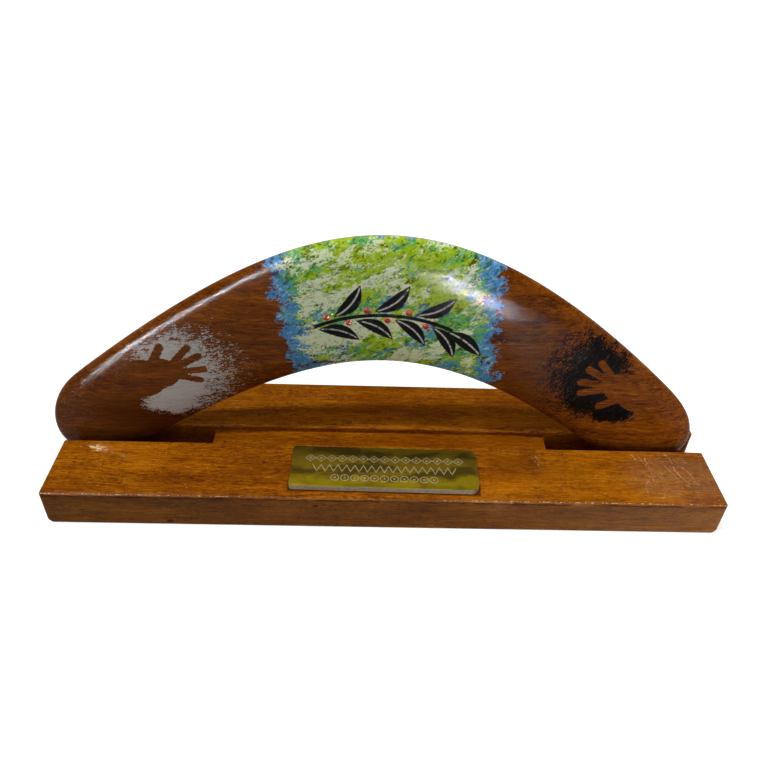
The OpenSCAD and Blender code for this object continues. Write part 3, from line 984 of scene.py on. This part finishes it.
def finish_floor():
    """Pale floor that keeps shadows, and looks white to the camera and in reflections"""
    finish = Finish("pale_floor")
    paths = finish.node("ShaderNodeLightPath").socket.node
    seen = [Wire(finish, paths.outputs[name])
            for name in ("Is Camera Ray", "Is Glossy Ray", "Is Transmission Ray")]
    shown = finish.node("ShaderNodeAddShader", None, {
        0: finish.node("ShaderNodeBsdfDiffuse", None, {"Color": FLOOR_SHOWN}),
        1: finish.node("ShaderNodeEmission", None, {"Color": FLOOR_SHOWN})})
    plain = finish.node("ShaderNodeBsdfDiffuse", None, {"Color": FLOOR_PLAIN})
    shader = finish.node("ShaderNodeMixShader", None,
                         {0: seen[0].most(seen[1]).most(seen[2]), 1: plain, 2: shown})
    finish.node("ShaderNodeOutputMaterial", None, {"Surface": shader})
    return finish.material


class BOOMERANG_OT_set_stage(bpy.types.Operator):
    """Makes the camera, the lamps and the round floor with its rim"""
    bl_idname = "boomerang.set_stage"
    bl_label = "Set Stage"

    def execute(self, context):
        settings = context.scene.stage_settings
        add_camera()
        place, angle = KEY
        add_lamp("key", "SUN", place, (0, 0, 0), settings.key, angle)
        place, size = SOFTBOX
        add_lamp("softbox", "AREA", place, (0, 0, 0), settings.softbox, size)
        for name, place, aim, power, size in FILLS:
            add_lamp(name, "AREA", place, aim, power * settings.fill, size).visible_glossy = False
        for name, start, end, aim, width, power in GLINTS:
            start, end = Vector(start), Vector(end)
            tube = add_lamp(name, "AREA", (start + end) / 2, aim, power * settings.glint,
                            (end - start).length, width, end - start)
            tube.visible_diffuse = False
            tube.visible_camera = False
        mesh = bpy.data.meshes.new("floor")
        shape = bmesh.new()
        bmesh.ops.create_circle(shape, cap_ends=True, segments=FLOOR_SIDES,
                                radius=settings.floor_radius)
        rim = [edge for edge in shape.edges if edge.is_boundary]
        raised = bmesh.ops.extrude_edge_only(shape, edges=rim)["geom"]
        bmesh.ops.translate(shape, vec=(0, 0, settings.cove_height),
                            verts=[v for v in raised if isinstance(v, bmesh.types.BMVert)])
        bmesh.ops.recalc_face_normals(shape, faces=shape.faces)
        for face in shape.faces:
            face.smooth = abs(face.normal.z) < 0.5
        shape.to_mesh(mesh)
        shape.free()
        floor = bpy.data.objects.new("floor", mesh)
        mesh.materials.append(finish_floor())
        context.scene.collection.objects.link(floor)
        world = bpy.data.worlds.new("studio")
        context.scene.world = world
        world.use_nodes = True
        world.node_tree.nodes["Background"].inputs["Color"].default_value = (1, 1, 1, 1)
        world.node_tree.nodes["Background"].inputs["Strength"].default_value = settings.ambient
        context.scene.view_settings.view_transform = "Standard"
        return {"FINISHED"}


# ---------------------------------------------------------------- add-on

class BOOMERANG_PT_panel(bpy.types.Panel):
    """Lists the steps in the order that they run"""
    bl_idname = "BOOMERANG_PT_panel"
    bl_label = "Boomerang"
    bl_space_type = "VIEW_3D"
    bl_region_type = "UI"
    bl_category = "Boomerang"

    def draw(self, context):
        for step in STEPS:
            self.layout.operator(step.bl_idname)


SETTINGS = {
    "blade_settings": BladeSettings,
    "paint_settings": PaintSettings,
    "stand_settings": StandSettings,
    "plaque_settings": PlaqueSettings,
    "stage_settings": StageSettings,
}
STEPS = (BOOMERANG_OT_set_stage, BOOMERANG_OT_finish_stand, BOOMERANG_OT_dress_blade,
         BOOMERANG_OT_add_dots, BOOMERANG_OT_finish_plaque)
CLASSES = (*SETTINGS.values(), *STEPS, BOOMERANG_PT_panel)


def register():
    for cls in CLASSES:
        bpy.utils.register_class(cls)
    for name, group in SETTINGS.items():
        setattr(bpy.types.Scene, name, PointerProperty(type=group))


def unregister():
    for name in SETTINGS:
        delattr(bpy.types.Scene, name)
    for cls in reversed(CLASSES):
        bpy.utils.unregister_class(cls)


def main():
    register()
    for step in STEPS:
        group, name = step.bl_idname.split(".")
        getattr(getattr(bpy.ops, group), name)()


if __name__ == "__main__":
    main()
